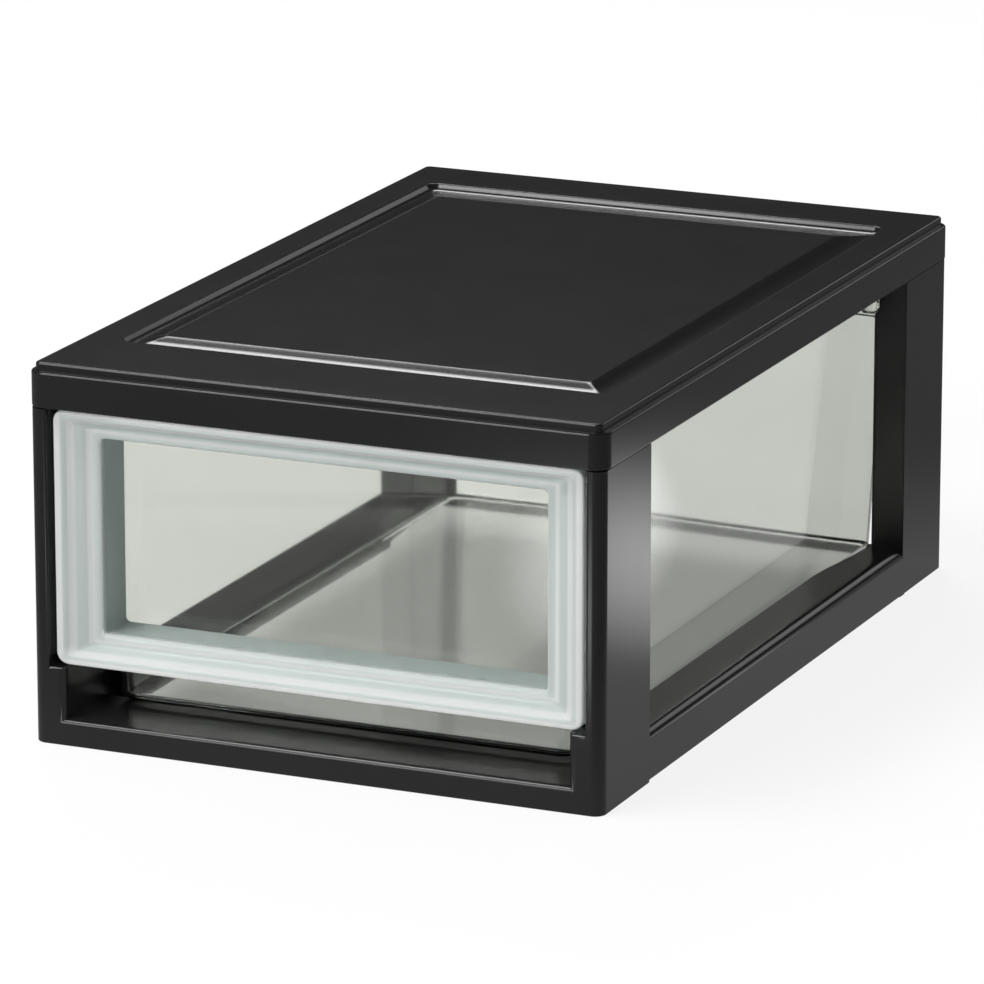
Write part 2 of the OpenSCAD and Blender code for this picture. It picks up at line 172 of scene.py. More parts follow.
def quarter_turn(steps: int) -> list[tuple[float, float]]:
    """Return the cosine and the sine at even steps from 0 to 90 degrees."""
    turns = [math.radians(90 * i / steps) for i in range(steps + 1)]
    return [(math.cos(a), math.sin(a)) for a in turns]


def rounded(ring: Ring, radius: float, steps: int) -> list[Ring]:
    """Return the rings of a quarter-round edge.

    Args:
        ring: Ring at the edge's theoretical corner.
        radius: Radius of the edge.
        steps: Number of segments.

    Returns:
        The rings, from the side over to the top.
    """
    return [ring.inset(radius * (1 - c), ring.level - radius * (1 - s)) for c, s in quarter_turn(steps)]


def loft(bm: BMesh, rings: Sequence[Ring], steps: int, axis: Axis, closed: bool) -> None:
    """Join rings with faces.

    Args:
        bm: Mesh to add to.
        rings: Loops in order.
        steps: Segments in each rounded corner.
        axis: Direction in which the loops are stacked.
        closed: True joins the last ring to the first; False caps both ends.
    """
    loops = [[bm.verts.new(p) for p in r.points(steps, axis)] for r in rings]
    following = loops[1:] + loops[:1] if closed else loops[1:]
    for a, b in zip(loops, following):
        n = len(a)
        for i in range(n):
            j = (i + 1) % n
            bm.faces.new((a[i], a[j], b[j], b[i]))
    if not closed:
        bm.faces.new(loops[0])
        bm.faces.new(loops[-1])


@dataclass(frozen=True)
class Block:
    """A small block with softened edges on the right side of the box, in millimetres.

    Args:
        low: Its lowest corner.
        high: Its highest corner.
        edge: Radius of its edges.
        segments: Segments of that radius.
    """

    low: Place
    high: Place
    edge: float
    segments: int = 3

    def add(self, bm: BMesh, side: int) -> None:
        """Add it to a mesh.

        Args:
            bm: Mesh to add to.
            side: 1 keeps it on the right, -1 puts its mirror image on the left.
        """
        x0, x1 = sorted((side * self.low[0], side * self.high[0]))
        low, high = (x0, *self.low[1:]), (x1, *self.high[1:])
        made = bmesh.ops.create_cube(bm, size=1.0)["verts"]
        for v in made:
            v.co = Vector([(low[k] + (v.co[k] + 0.5) * (high[k] - low[k])) * MM for k in range(3)])
        edges = list(dict.fromkeys(e for v in made for e in v.link_edges))
        width = self.edge * MM
        bmesh.ops.bevel(bm, geom=edges, offset=width, segments=self.segments, profile=0.5, affect="EDGES")


def new_object(name: str, data: bpy.types.ID) -> Object:
    """Make an object at the scene's origin."""
    obj = bpy.data.objects.new(name, data)
    bpy.context.scene.collection.objects.link(obj)
    return obj


def evaluated_mesh(obj: Object) -> Mesh:
    """Return an object's mesh as its modifiers leave it."""
    graph = bpy.context.evaluated_depsgraph_get()
    shown = obj.evaluated_get(graph)
    return bpy.data.meshes.new_from_object(shown, preserve_all_data_layers=True, depsgraph=graph)


def settled(obj: Object) -> Object:
    """Keep an object's large faces flat and turn it into a plain mesh.

    Args:
        obj: A smooth-shaded object, with or without modifiers.

    Returns:
        The same object, with its modifiers applied.
    """
    flat = obj.modifiers.new("flat_faces", "WEIGHTED_NORMAL")
    flat.keep_sharp = True
    flat.weight = FACE_WEIGHT
    mesh = evaluated_mesh(obj)
    old = obj.data
    obj.modifiers.clear()
    obj.data = mesh
    mesh.name = obj.name
    bpy.data.meshes.remove(old)
    return obj


def finish_piece(name: str, bm: BMesh, crease: float) -> Object:
    """Turn a bmesh into a smooth-shaded object whose flat faces stay flat.

    Args:
        name: Name of the piece.
        bm: Its mesh, in metres and in place. It is freed.
        crease: Angle in degrees above which an edge stays crisp.

    Returns:
        The new object, with its modifiers applied.
    """
    bmesh.ops.remove_doubles(bm, verts=bm.verts, dist=MERGE)
    bmesh.ops.recalc_face_normals(bm, faces=bm.faces)
    mesh = bpy.data.meshes.new(name)
    bm.to_mesh(mesh)
    bm.free()
    mesh.shade_smooth()
    mesh.set_sharp_from_angle(angle=math.radians(crease))
    return settled(new_object(name, mesh))


def dress(obj: Object, mat: Material) -> None:
    """Give all faces of an object one material.

    Args:
        obj: The object.
        mat: The material.
    """
    obj.data.materials.clear()
    obj.data.materials.append(mat)
    for face in obj.data.polygons:
        face.material_index = 0


# ---------------------------------------------------------------- nodes


def feed(tree: NodeTree, source: object, target: NodeSocket) -> None:
    """Give an input what it works with.

    Args:
        tree: Tree of the input.
        source: Another node's output, or a plain value.
        target: The input.
    """
    if isinstance(source, NodeSocket):
        tree.links.new(source, target)
    else:
        target.default_value = source


def add_node(tree: NodeTree, kind: str, **values: object) -> Node:
    """Add a node.

    Args:
        tree: Tree to add it to.
        kind: Its type.
        **values: Attributes of the node, or sources of its inputs by name, with _ for a space.

    Returns:
        The node.
    """
    node = tree.nodes.new(kind)
    for key, value in values.items():
        if hasattr(node, key):
            setattr(node, key, value)
        else:
            feed(tree, value, node.inputs[key.replace("_", " ")])
    return node


def calc(tree: NodeTree, operation: str, *values: float | NodeSocket) -> NodeSocket:
    """Add a Math node.

    Args:
        tree: Tree to add it to.
        operation: What it works out.
        *values: Its inputs in order, as numbers or outputs of other nodes.

    Returns:
        Its output.
    """
    node = add_node(tree, "ShaderNodeMath", operation=operation)
    for value, target in zip(values, node.inputs):
        feed(tree, value, target)
    return node.outputs[0]


def soft_step(
    tree: NodeTree, value: NodeSocket, reach: tuple[float, float], levels: tuple[float, float]
) -> NodeSocket:
    """Add a smooth step from one level to another.

    Args:
        tree: Tree to add it to.
        value: What the step follows.
        reach: Values at which it starts and ends.
        levels: Levels before and after it.

    Returns:
        The level.
    """
    step = add_node(
        tree, "ShaderNodeMapRange", interpolation_type="SMOOTHSTEP", Value=value,
        From_Min=reach[0], From_Max=reach[1], To_Min=levels[0], To_Max=levels[1],
    )
    return step.outputs["Result"]


def new_group(
    name: str, inputs: dict[str, float], outputs: Sequence[str]
) -> tuple[ShaderNodeTree, dict[str, NodeSocket], Node]:
    """Make an empty shader node group with named sockets.

    Args:
        name: Name of the group.
        inputs: Input names with their default values.
        outputs: Output names.

    Returns:
        The group, what enters it by name, and the node that takes its results.
    """
    tree = bpy.data.node_groups.new(name, "ShaderNodeTree")
    for key, value in inputs.items():
        tree.interface.new_socket(key, in_out="INPUT", socket_type="NodeSocketFloat").default_value = value
    for key in outputs:
        tree.interface.new_socket(key, in_out="OUTPUT", socket_type="NodeSocketFloat")
    enter = tree.nodes.new("NodeGroupInput")
    return tree, {key: enter.outputs[key] for key in inputs}, tree.nodes.new("NodeGroupOutput")


def moulded_skin() -> ShaderNodeTree:
    """Make the group that gives moulded plastic its fine skin and slow flow waves.

    Returns:
        A group with a Height for bump, a Cloud mask and a Roughness.
    """
    tree, enter, leave = new_group("moulded_skin", Plastic().skin_sizes(), ("Height", "Cloud", "Roughness"))
    place = tree.nodes.new("ShaderNodeTexCoord").outputs["Object"]
    noises = ((enter["Grain Scale"], 2.0, 0.6), (enter["Wave Scale"], 1.5, 0.45), (38.0, 4.0, 0.62))
    grain, wave, cloud = (
        add_node(
            tree, "ShaderNodeTexNoise", Vector=place, Scale=scale, Detail=detail, Roughness=rough,
        ).outputs["Fac"]
        for scale, detail, rough in noises
    )
    fine = calc(tree, "MULTIPLY", grain, enter["Grain"])
    slow = calc(tree, "MULTIPLY", wave, enter["Wave"])
    centred = calc(tree, "SUBTRACT", cloud, 0.5)
    rough = calc(tree, "MULTIPLY_ADD", centred, enter["Spread"], enter["Roughness"])
    feed(tree, calc(tree, "ADD", fine, slow), leave.inputs["Height"])
    feed(tree, cloud, leave.inputs["Cloud"])
    feed(tree, rough, leave.inputs["Roughness"])
    return tree


def window_bands(front: DrawerFront) -> ShaderNodeTree:
    """Make the group that says how far out a point lies on the frame around the window.

    Args:
        front: The drawer front, for its outline and its window.

    Returns:
        A group whose Share is 0 at the window's edge and 1 at the frame's outline.
    """
    sizes = {
        "Half Width": front.half_x, "Low": front.low_z, "High": front.high_z,
        "Side Band": front.side, "Low Band": front.low, "High Band": front.high,
    }
    inputs = {key: size * MM for key, size in sizes.items()}
    tree, enter, leave = new_group("window_bands", inputs, ("Share",))
    place = tree.nodes.new("ShaderNodeTexCoord").outputs["Object"]
    point = add_node(tree, "ShaderNodeSeparateXYZ", Vector=place)
    out, up = calc(tree, "ABSOLUTE", point.outputs["X"]), point.outputs["Z"]
    gaps = {
        "Side Band": calc(tree, "SUBTRACT", enter["Half Width"], out),
        "High Band": calc(tree, "SUBTRACT", enter["High"], up),
        "Low Band": calc(tree, "SUBTRACT", up, enter["Low"]),
    }
    side, high, low = (calc(tree, "DIVIDE", gap, enter[band]) for band, gap in gaps.items())
    least = calc(tree, "MINIMUM", calc(tree, "MINIMUM", side, high), low)
    feed(tree, calc(tree, "SUBTRACT", 1.0, least), leave.inputs["Share"])
    return tree


def moulding_tree(mat: Material) -> GeometryNodeTree:
    """Make the tree that sweeps a flat section round a rounded rectangle.

    Args:
        mat: Material of the moulding.

    Returns:
        A tree that takes the section as its geometry: x points outward from the path, -y up.
    """
    tree = bpy.data.node_groups.new("swept_moulding", "GeometryNodeTree")
    sockets = {
        "Section": "Geometry", "Width": "Float", "Depth": "Float",
        "Corner Radius": "Float", "Corner Steps": "Int",
    }
    for key, kind in sockets.items():
        tree.interface.new_socket(key, in_out="INPUT", socket_type="NodeSocket" + kind)
    tree.interface.new_socket("Moulding", in_out="OUTPUT", socket_type="NodeSocketGeometry")
    enter = tree.nodes.new("NodeGroupInput").outputs
    path = add_node(
        tree, "GeometryNodeCurvePrimitiveQuadrilateral", Width=enter["Width"], Height=enter["Depth"],
    )
    corners = add_node(
        tree, "GeometryNodeFilletCurve", mode="POLY", Curve=path.outputs["Curve"],
        Radius=enter["Corner Radius"], Count=enter["Corner Steps"],
    )
    level = add_node(tree, "GeometryNodeSetCurveNormal", mode="Z_UP", Curve=corners.outputs["Curve"])
    section = add_node(tree, "GeometryNodeMeshToCurve", Mesh=enter["Section"])
    sweep = add_node(
        tree, "GeometryNodeCurveToMesh", Curve=level.outputs["Curve"], Profile_Curve=section.outputs["Curve"],
    )
    real = add_node(tree, "GeometryNodeRealizeInstances", Geometry=sweep.outputs["Mesh"])
    paint = add_node(tree, "GeometryNodeSetMaterial", Geometry=real.outputs["Geometry"], Material=mat)
    add_node(tree, "NodeGroupOutput", Moulding=paint.outputs["Geometry"])
    return tree


def sweep_moulding(
    tree: GeometryNodeTree, section: Sequence[tuple[float, float]], sizes: dict[str, float]
) -> Mesh:
    """Run the moulding tree on one section.

    Args:
        tree: The tree from moulding_tree.
        section: Corners of the closed section in millimetres, outward and up.
        sizes: Values of the tree's named inputs, in metres.

    Returns:
        The swept mesh.
    """
    count = len(section)
    corners = [(x * MM, -z * MM, 0.0) for x, z in section]
    flat = bpy.data.meshes.new("section")
    flat.from_pydata(corners, [(i, (i + 1) % count) for i in range(count)], [])
    obj = new_object("section", flat)
    mod = obj.modifiers.new("moulding", "NODES")
    mod.node_group = tree
    for item in tree.interface.items_tree:
        if item.in_out == "INPUT" and item.name in sizes:
            mod[item.identifier] = sizes[item.name]
    swept = evaluated_mesh(obj)
    obj.modifiers.clear()
    bpy.data.objects.remove(obj)
    bpy.data.meshes.remove(flat)
    return swept


# ---------------------------------------------------------------- finishes


@dataclass(frozen=True)
class Plastic:
    """What the finishes share: a name, how the skin group is set, and two colours in a faint cloud."""

    name: str = "plastic"
    grain_scale: float = 1500.0
    grain: float = 0.3
    wave_scale: float = 16.0
    wave: float = 0.5
    roughness: float = 0.3
    spread: float = 0.06
    bump: float = 0.05
    bump_depth: float = 0.0004
    low: Colour = (0.1, 0.1, 0.1)
    high: Colour = (0.2, 0.2, 0.2)

    def skin_sizes(self) -> dict[str, float]:
        """Return the values of the skin group's inputs."""
        return {
            "Grain Scale": self.grain_scale, "Grain": self.grain, "Wave Scale": self.wave_scale,
            "Wave": self.wave, "Roughness": self.roughness, "Spread": self.spread,
        }

    def start(self, skin: ShaderNodeTree) -> tuple[Material, Node]:
        """Make the material with its skin, bump and clouded colour.

        Args:
            skin: The shared skin group.

        Returns:
            The material and its shader node.
        """
        mat = bpy.data.materials.new(self.name)
        mat.use_nodes = True
        tree = mat.node_tree
        shader = tree.nodes["Principled BSDF"]
        group = add_node(tree, "ShaderNodeGroup", node_tree=skin)
        for key, value in self.skin_sizes().items():
            group.inputs[key].default_value = value
        bump = add_node(
            tree, "ShaderNodeBump", Strength=self.bump, Distance=self.bump_depth,
            Height=group.outputs["Height"],
        )
        clouded = add_node(
            tree, "ShaderNodeMix", data_type="RGBA", Factor=group.outputs["Cloud"],
            A=(*self.low, 1.0), B=(*self.high, 1.0),
        )
        feed(tree, clouded.outputs["Result"], shader.inputs["Base Color"])
        feed(tree, bump.outputs["Normal"], shader.inputs["Normal"])
        feed(tree, group.outputs["Roughness"], shader.inputs["Roughness"])
        return mat, shader


@dataclass(frozen=True)
class CaseFinish(Plastic):
    """Black satin plastic of the lid and the two case frames."""

    name: str = "case_black_satin"
    roughness: float = 0.22
    spread: float = 0.03
    wave: float = 0.3
    low: Colour = (0.009, 0.009, 0.0091)
    high: Colour = (0.0125, 0.0125, 0.0126)
    specular: float = 0.35

    def build(self, skin: ShaderNodeTree) -> Material:
        """Make the material.

        Args:
            skin: The shared skin group.

        Returns:
            The finished material.
        """
        mat, shader = self.start(skin)
        shader.inputs["Specular IOR Level"].default_value = self.specular
        mat.diffuse_color = (0.02, 0.02, 0.02, 1.0)
        return mat


@dataclass(frozen=True)
class ClearFinish(Plastic):
    """Clear polystyrene of the drawer tub, faintly grey-green."""

    name: str = "tub_clear_plastic"
    grain: float = 0.0
    wave_scale: float = 22.0
    wave: float = 1.0
    roughness: float = 0.04
    spread: float = 0.02
    bump: float = 0.03
    low: Colour = (0.83, 0.847, 0.805)
    high: Colour = (0.865, 0.878, 0.845)
    ior: float = 1.45

    def build(self, skin: ShaderNodeTree) -> Material:
        """Make the material.

        Args:
            skin: The shared skin group.

        Returns:
            The finished material.
        """
        mat, shader = self.start(skin)
        shader.inputs["Transmission Weight"].default_value = 1.0
        shader.inputs["IOR"].default_value = self.ior
        mat.diffuse_color = (0.8, 0.84, 0.8, 0.35)
        return mat


@dataclass(frozen=True)
class MilkyFinish(Plastic):
    """Milky translucent plastic of the drawer front, darker and glossier where it is thinner; its darker
    bands are also painted shade of the dish's slopes and of the dark inside seen through them.
    """

    name: str = "front_milky_plastic"
    grain: float = 0.1
    wave_scale: float = 26.0
    wave: float = 0.8
    roughness: float = 0.26
    bump: float = 0.03
    low: Colour = (0.955, 0.972, 0.962)
    high: Colour = (0.975, 0.985, 0.978)
    # Colour of thinner plastic, which is also the painted shade of the darker bands.
    thin_and_shaded: Colour = (0.58, 0.68, 0.65)
    thick_roughness: float = 0.5
    see_through: float = 0.52
    ior: float = 1.45

    # How thick the plastic looks (0 to 1) on the way from the window's edge (0) to the frame's outline (1);
    # its low values also carry painted shade of the dish's slopes and of the dark inside seen through them.
    THICKNESS_AND_SHADE: ClassVar[tuple[tuple[float, float], ...]] = (
        (0.0, 0.15), (0.015, 0.85), (0.05, 0.4), (0.19, 0.45), (0.22, 0.85), (0.3, 0.8), (0.35, 0.25),
        (0.53, 0.25), (0.58, 0.85), (0.7, 0.8), (0.73, 0.4), (0.82, 0.5), (0.85, 1.0), (1.0, 1.0),
    )

    def thickness_and_shade(self, tree: NodeTree) -> NodeSocket:
        """Add the bands that follow the frame round its window, with painted shade in the darker ones.

        Args:
            tree: Node tree to add them to.

        Returns:
            How thick the plastic looks, with painted shade where it looks thinner.
        """
        bands = add_node(tree, "ShaderNodeGroup", node_tree=window_bands(DrawerFront()))
        curve = add_node(tree, "ShaderNodeFloatCurve", Value=bands.outputs["Share"])
        line = curve.mapping.curves[0]
        first, *between, last = self.THICKNESS_AND_SHADE
        line.points[0].location = first
        line.points[-1].location = last
        for share, thickness in between:
            line.points.new(share, thickness)
        for point in line.points:
            point.handle_type = "VECTOR"
        curve.mapping.update()
        return curve.outputs["Value"]

    def build(self, skin: ShaderNodeTree) -> Material:
        """Make the material.

        Args:
            skin: The shared skin group.

        Returns:
            The finished material.
        """
        mat, shader = self.start(skin)
        tree = mat.node_tree
        thickness_and_shade = self.thickness_and_shade(tree)
        clouded = shader.inputs["Base Color"].links[0].from_socket
        # Painted shade: the darker bands mix towards the shaded colour.
        tint = add_node(
            tree, "ShaderNodeMix", data_type="RGBA", Factor=thickness_and_shade, A=(*self.thin_and_shaded, 1.0), B=clouded,
        )
        frost = add_node(
            tree, "ShaderNodeMapRange", Value=thickness_and_shade, To_Min=self.roughness, To_Max=self.thick_roughness,
        )
        feed(tree, tint.outputs["Result"], shader.inputs["Base Color"])
        feed(tree, frost.outputs["Result"], shader.inputs["Roughness"])
        shader.inputs["Transmission Weight"].default_value = self.see_through
        shader.inputs["IOR"].default_value = self.ior
        mat.diffuse_color = (0.78, 0.82, 0.81, 0.8)
        return mat


class Finishes:
    """The three plastics of the box, built once and shared by its pieces."""

    def __init__(self) -> None:
        """Build the shared skin group and the materials."""
        skin = moulded_skin()
        self.case = CaseFinish().build(skin)
        self.clear = ClearFinish().build(skin)
        self.milky = MilkyFinish().build(skin)


# ---------------------------------------------------------------- pieces


@dataclass(frozen=True)
class Lid:
    """Lid with skirt, stacking ledge, ring groove and raised panel."""

    half_x: float = 110.95
    half_y: float = 172.45
    radius: float = 6.6
    skirt_z: float = 124.3
    ledge_z: float = 137.4
    top_z: float = 140.4
    wall: float = 2.4
    ledge: float = 2.3
    ledge_lap: float = 1.4
    root: float = 0.25
    root_h: float = 0.15
    edge: float = 0.9
    edge_steps: int = 5
    plate_z: float = 135.6
    plate_upright: float = 0.4
    plateau_radius: float = 2.4
    groove_half_x: float = 95.45
    groove_y: tuple[float, float] = (-130.95, 143.25)
    groove_radius: float = 5.0
    groove_wall: float = 4.0
    depth: float = 2.4
    slope: float = 9.9
    slope_rear: float = 18.1
    panel_radius: float = 2.0
    steps: int = 10
    crease: float = 50.0

    # Rounded foot of the skirt: outward from its outer face, and up from its lower edge.
    FOOT: ClassVar[tuple[tuple[float, float], ...]] = ((-0.4, 0.0), (-0.1, 0.15), (0.0, 0.5))
    # The groove's wall and the panel's slope: shares of the way across, and of the way down or up.
    WALL: ClassVar[tuple[tuple[float, float], ...]] = (
        (0.0, 0.0), (0.05, 0.01), (0.1, 0.05), (0.15, 0.12), (0.27, 0.36), (0.4, 0.6), (0.45, 0.68),
        (0.51, 0.75), (0.58, 0.82), (0.68, 0.885), (0.8, 0.945), (0.9, 0.98), (1.0, 1.0),
    )
    SLOPE: ClassVar[tuple[tuple[float, float], ...]] = (
        (0.12, 0.05), (0.25, 0.14), (0.38, 0.26), (0.48, 0.37), (0.56, 0.49), (0.72, 0.75),
        (0.86, 0.96), (0.9, 0.985), (0.95, 0.997), (1.0, 1.0),
    )

    def section(self) -> list[tuple[float, float]]:
        """Draw the skirt's section with the ledge.

        Returns:
            Its corners, outward from the skirt's outer face and up.
        """
        out = [(-self.wall, self.skirt_z)]
        out += [(x, self.skirt_z + z) for x, z in self.FOOT]
        for c, s in quarter_turn(self.edge_steps):
            out.append((self.edge * (c - 1), self.ledge_z + self.edge * (s - 1)))
        inner, root_z = -self.ledge - self.ledge_lap, self.ledge_z + self.root_h
        out += [(self.root - self.ledge, self.ledge_z), (-self.ledge, root_z), (inner, root_z)]
        return out + [(inner, self.plate_z), (-self.wall, self.plate_z)]

    def rings(self) -> list[Ring]:
        """Draw the plate.

        Returns:
            Its loops, from the foot of its wall over the top and the groove to the middle.
        """
        wall = Ring(self.half_x - self.ledge, self.half_y - self.ledge, self.plateau_radius, self.plate_z)
        out = [wall, wall.inset(0.0, self.ledge_z + self.plate_upright)]
        out += rounded(wall.inset(0.0, self.top_z), self.edge, self.edge_steps)
        y0, y1 = self.groove_y
        rim = Ring(self.groove_half_x, (y1 - y0) / 2, self.groove_radius, self.top_z, (y1 + y0) / 2)
        foot = rim.inset(self.groove_wall, self.top_z - self.depth)
        p0, p1 = y0 + self.groove_wall + self.slope, y1 - self.groove_wall - self.slope_rear
        panel = Ring(foot.half_x - self.slope, (p1 - p0) / 2, self.panel_radius, self.top_z, (p1 + p0) / 2)
        out += [rim.towards(foot, share, rise) for share, rise in self.WALL]
        out += [foot.towards(panel, share, rise) for share, rise in self.SLOPE]
        return out

    def build(self, finishes: Finishes) -> Object:
        """Build the lid, dress it and put it on the case.

        Args:
            finishes: The box's plastics.

        Returns:
            The finished piece.
        """
        bm = bmesh.new()
        loft(bm, self.rings(), self.steps, Axis.UP, False)
        sizes = {
            "Width": 2 * self.half_x * MM, "Depth": 2 * self.half_y * MM,
            "Corner Radius": self.radius * MM, "Corner Steps": self.steps,
        }
        skirt = sweep_moulding(moulding_tree(finishes.case), self.section(), sizes)
        bm.from_mesh(skirt)
        bpy.data.meshes.remove(skirt)
        obj = finish_piece("lid", bm, self.crease)
        dress(obj, finishes.case)
        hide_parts("top_panel")
        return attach(obj, Body.CASE.value)


@dataclass(frozen=True)
class CaseFrame:
    """One of the two black case frames, with softened moulded edges.

    Args:
        node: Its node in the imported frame.
        piece: Name of the dressed piece.
        edge: Radius of its edges in millimetres.
        segments: Segments of that radius.
        crease: Angle in degrees above which an edge is softened.
        level: Angle in degrees below which faces count as one flat face.
    """

    node: str
    piece: str
    edge: float = 0.55
    segments: int = 3
    crease: float = 40.0
    level: float = 0.6

    def build(self, frame: dict, finishes: Finishes) -> Object:
        """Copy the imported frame, soften its edges and dress it.

        Args:
            finishes: The box's plastics.

        Returns:
            The finished piece.
        """
        bm = bmesh.new()
        bm.from_mesh(frame["nodes"][self.node].data)
        bmesh.ops.remove_doubles(bm, verts=bm.verts, dist=CAD_MERGE)
        bmesh.ops.dissolve_limit(bm, angle_limit=math.radians(self.level), verts=bm.verts, edges=bm.edges)
        mesh = bpy.data.meshes.new(self.piece)
        bm.to_mesh(mesh)
        bm.free()
        mesh.shade_smooth()
        obj = new_object(self.piece, mesh)
        soft = obj.modifiers.new("edges", "BEVEL")
        soft.width = self.edge * MM
        soft.segments = self.segments
        soft.limit_method = "ANGLE"
        soft.angle_limit = math.radians(self.crease)
        soft.harden_normals = False
        settled(obj)
        dress(obj, finishes.case)
        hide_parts(self.node)
        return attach(obj, Body.CASE.value)


@dataclass(frozen=True)
class DrawerTub:
    """Clear drawer tub with drafted walls, a rolled rim, a thicker rear band, stop lugs and clips."""

    floor_z: float = 10.9
    top_z: float = 118.8
    foot: float = 90.1
    head: float = 95.2
    front_y: float = -147.5
    rear_y: float = 154.0
    lean: float = 3.5
    floor_radius: float = 4.0
    floor_steps: int = 6
    corner: float = 8.0
    least_corner: float = 1.5
    wall: float = 1.8
    rim: float = 0.9
    rim_h: float = 2.2
    rim_blend: float = 0.3
    rim_round: tuple[float, float] = (0.4, 0.6)
    mouth_round: float = 0.3
    band_h: float = 16.8
    band_blend: float = 0.5
    band: tuple[float, float] = (0.8, 0.9)
    steps: int = 12
    crease: float = 45.0

    LUG: ClassVar[Block] = Block((94.9, 118.8, 112.0), (100.3, 125.0, 118.8), 0.9)
    CLIP: ClassVar[Block] = Block((91.5, -161.3, 112.0), (94.9, -146.2, 117.4), 0.8)

    def level(self, z: float, inset: float, corner: float, rear: float = 0.0, side: float = 0.0) -> Ring:
        """Return the tub's outline at a height.

        Args:
            z: The height.
            inset: Distance in from the outer face.
            corner: Corner radius.
            rear: How far its rear stands out.
            side: How far its sides stand out.

        Returns:
            The ring.
        """
        z0 = self.floor_z + self.floor_radius
        t = (z - z0) / (self.top_z - z0)
        half_x = self.foot + (self.head - self.foot) * t - inset + side
        y0 = self.front_y + inset
        y1 = self.rear_y + self.lean * (t - 1) - inset + rear
        return Ring(half_x, (y1 - y0) / 2, corner, z, (y1 + y0) / 2)

    def shell(self, inset: float) -> list[Ring]:
        """Draw the rounded edge of the floor.

        Args:
            inset: Distance in from the outer face.

        Returns:
            Its loops, from the floor up.
        """
        r = self.floor_radius - inset
        z0 = self.floor_z + self.floor_radius
        out = []
        for c, s in quarter_turn(self.floor_steps):
            side = inset + r * (1 - s)
            out.append(self.level(z0 - r * c, side, max(self.corner - side, self.least_corner)))
        return out

    def rings(self) -> list[Ring]:
        """Draw the tub.

        Returns:
            Its loops, from the floor's outside over the rim to its inside.
        """
        outer, inner = self.corner, self.corner - self.wall
        top, lip, band_z = self.top_z, self.top_z - self.rim_h, self.top_z - self.band_h
        low_band, high_band = self.band
        across, down = self.rim_round
        return [
            *self.shell(0.0),
            self.level(band_z, 0, outer),
            self.level(band_z + self.band_blend, 0, outer, low_band),
            self.level(lip, 0, outer, high_band),
            self.level(lip + self.rim_blend, 0, outer, self.rim, self.rim),
            self.level(top - down, 0, outer, self.rim, self.rim),
            self.level(top, across, outer, self.rim, self.rim),
            self.level(top, self.wall - self.mouth_round, inner),
            self.level(top - self.mouth_round, self.wall, inner),
            *reversed(self.shell(self.wall)),
        ]

    def build(self, finishes: Finishes) -> Object:
        """Build the tub, dress it and put it on the drawer.

        Args:
            finishes: The box's plastics.

        Returns:
            The finished piece.
        """
        bm = bmesh.new()
        loft(bm, self.rings(), self.steps, Axis.UP, False)
        for side in (-1, 1):
            self.LUG.add(bm, side)
            self.CLIP.add(bm, side)
        obj = finish_piece("drawer_tub_clear", bm, self.crease)
        dress(obj, finishes.clear)
        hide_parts("drawer_tub")
        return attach(obj, Body.DRAWER.value)


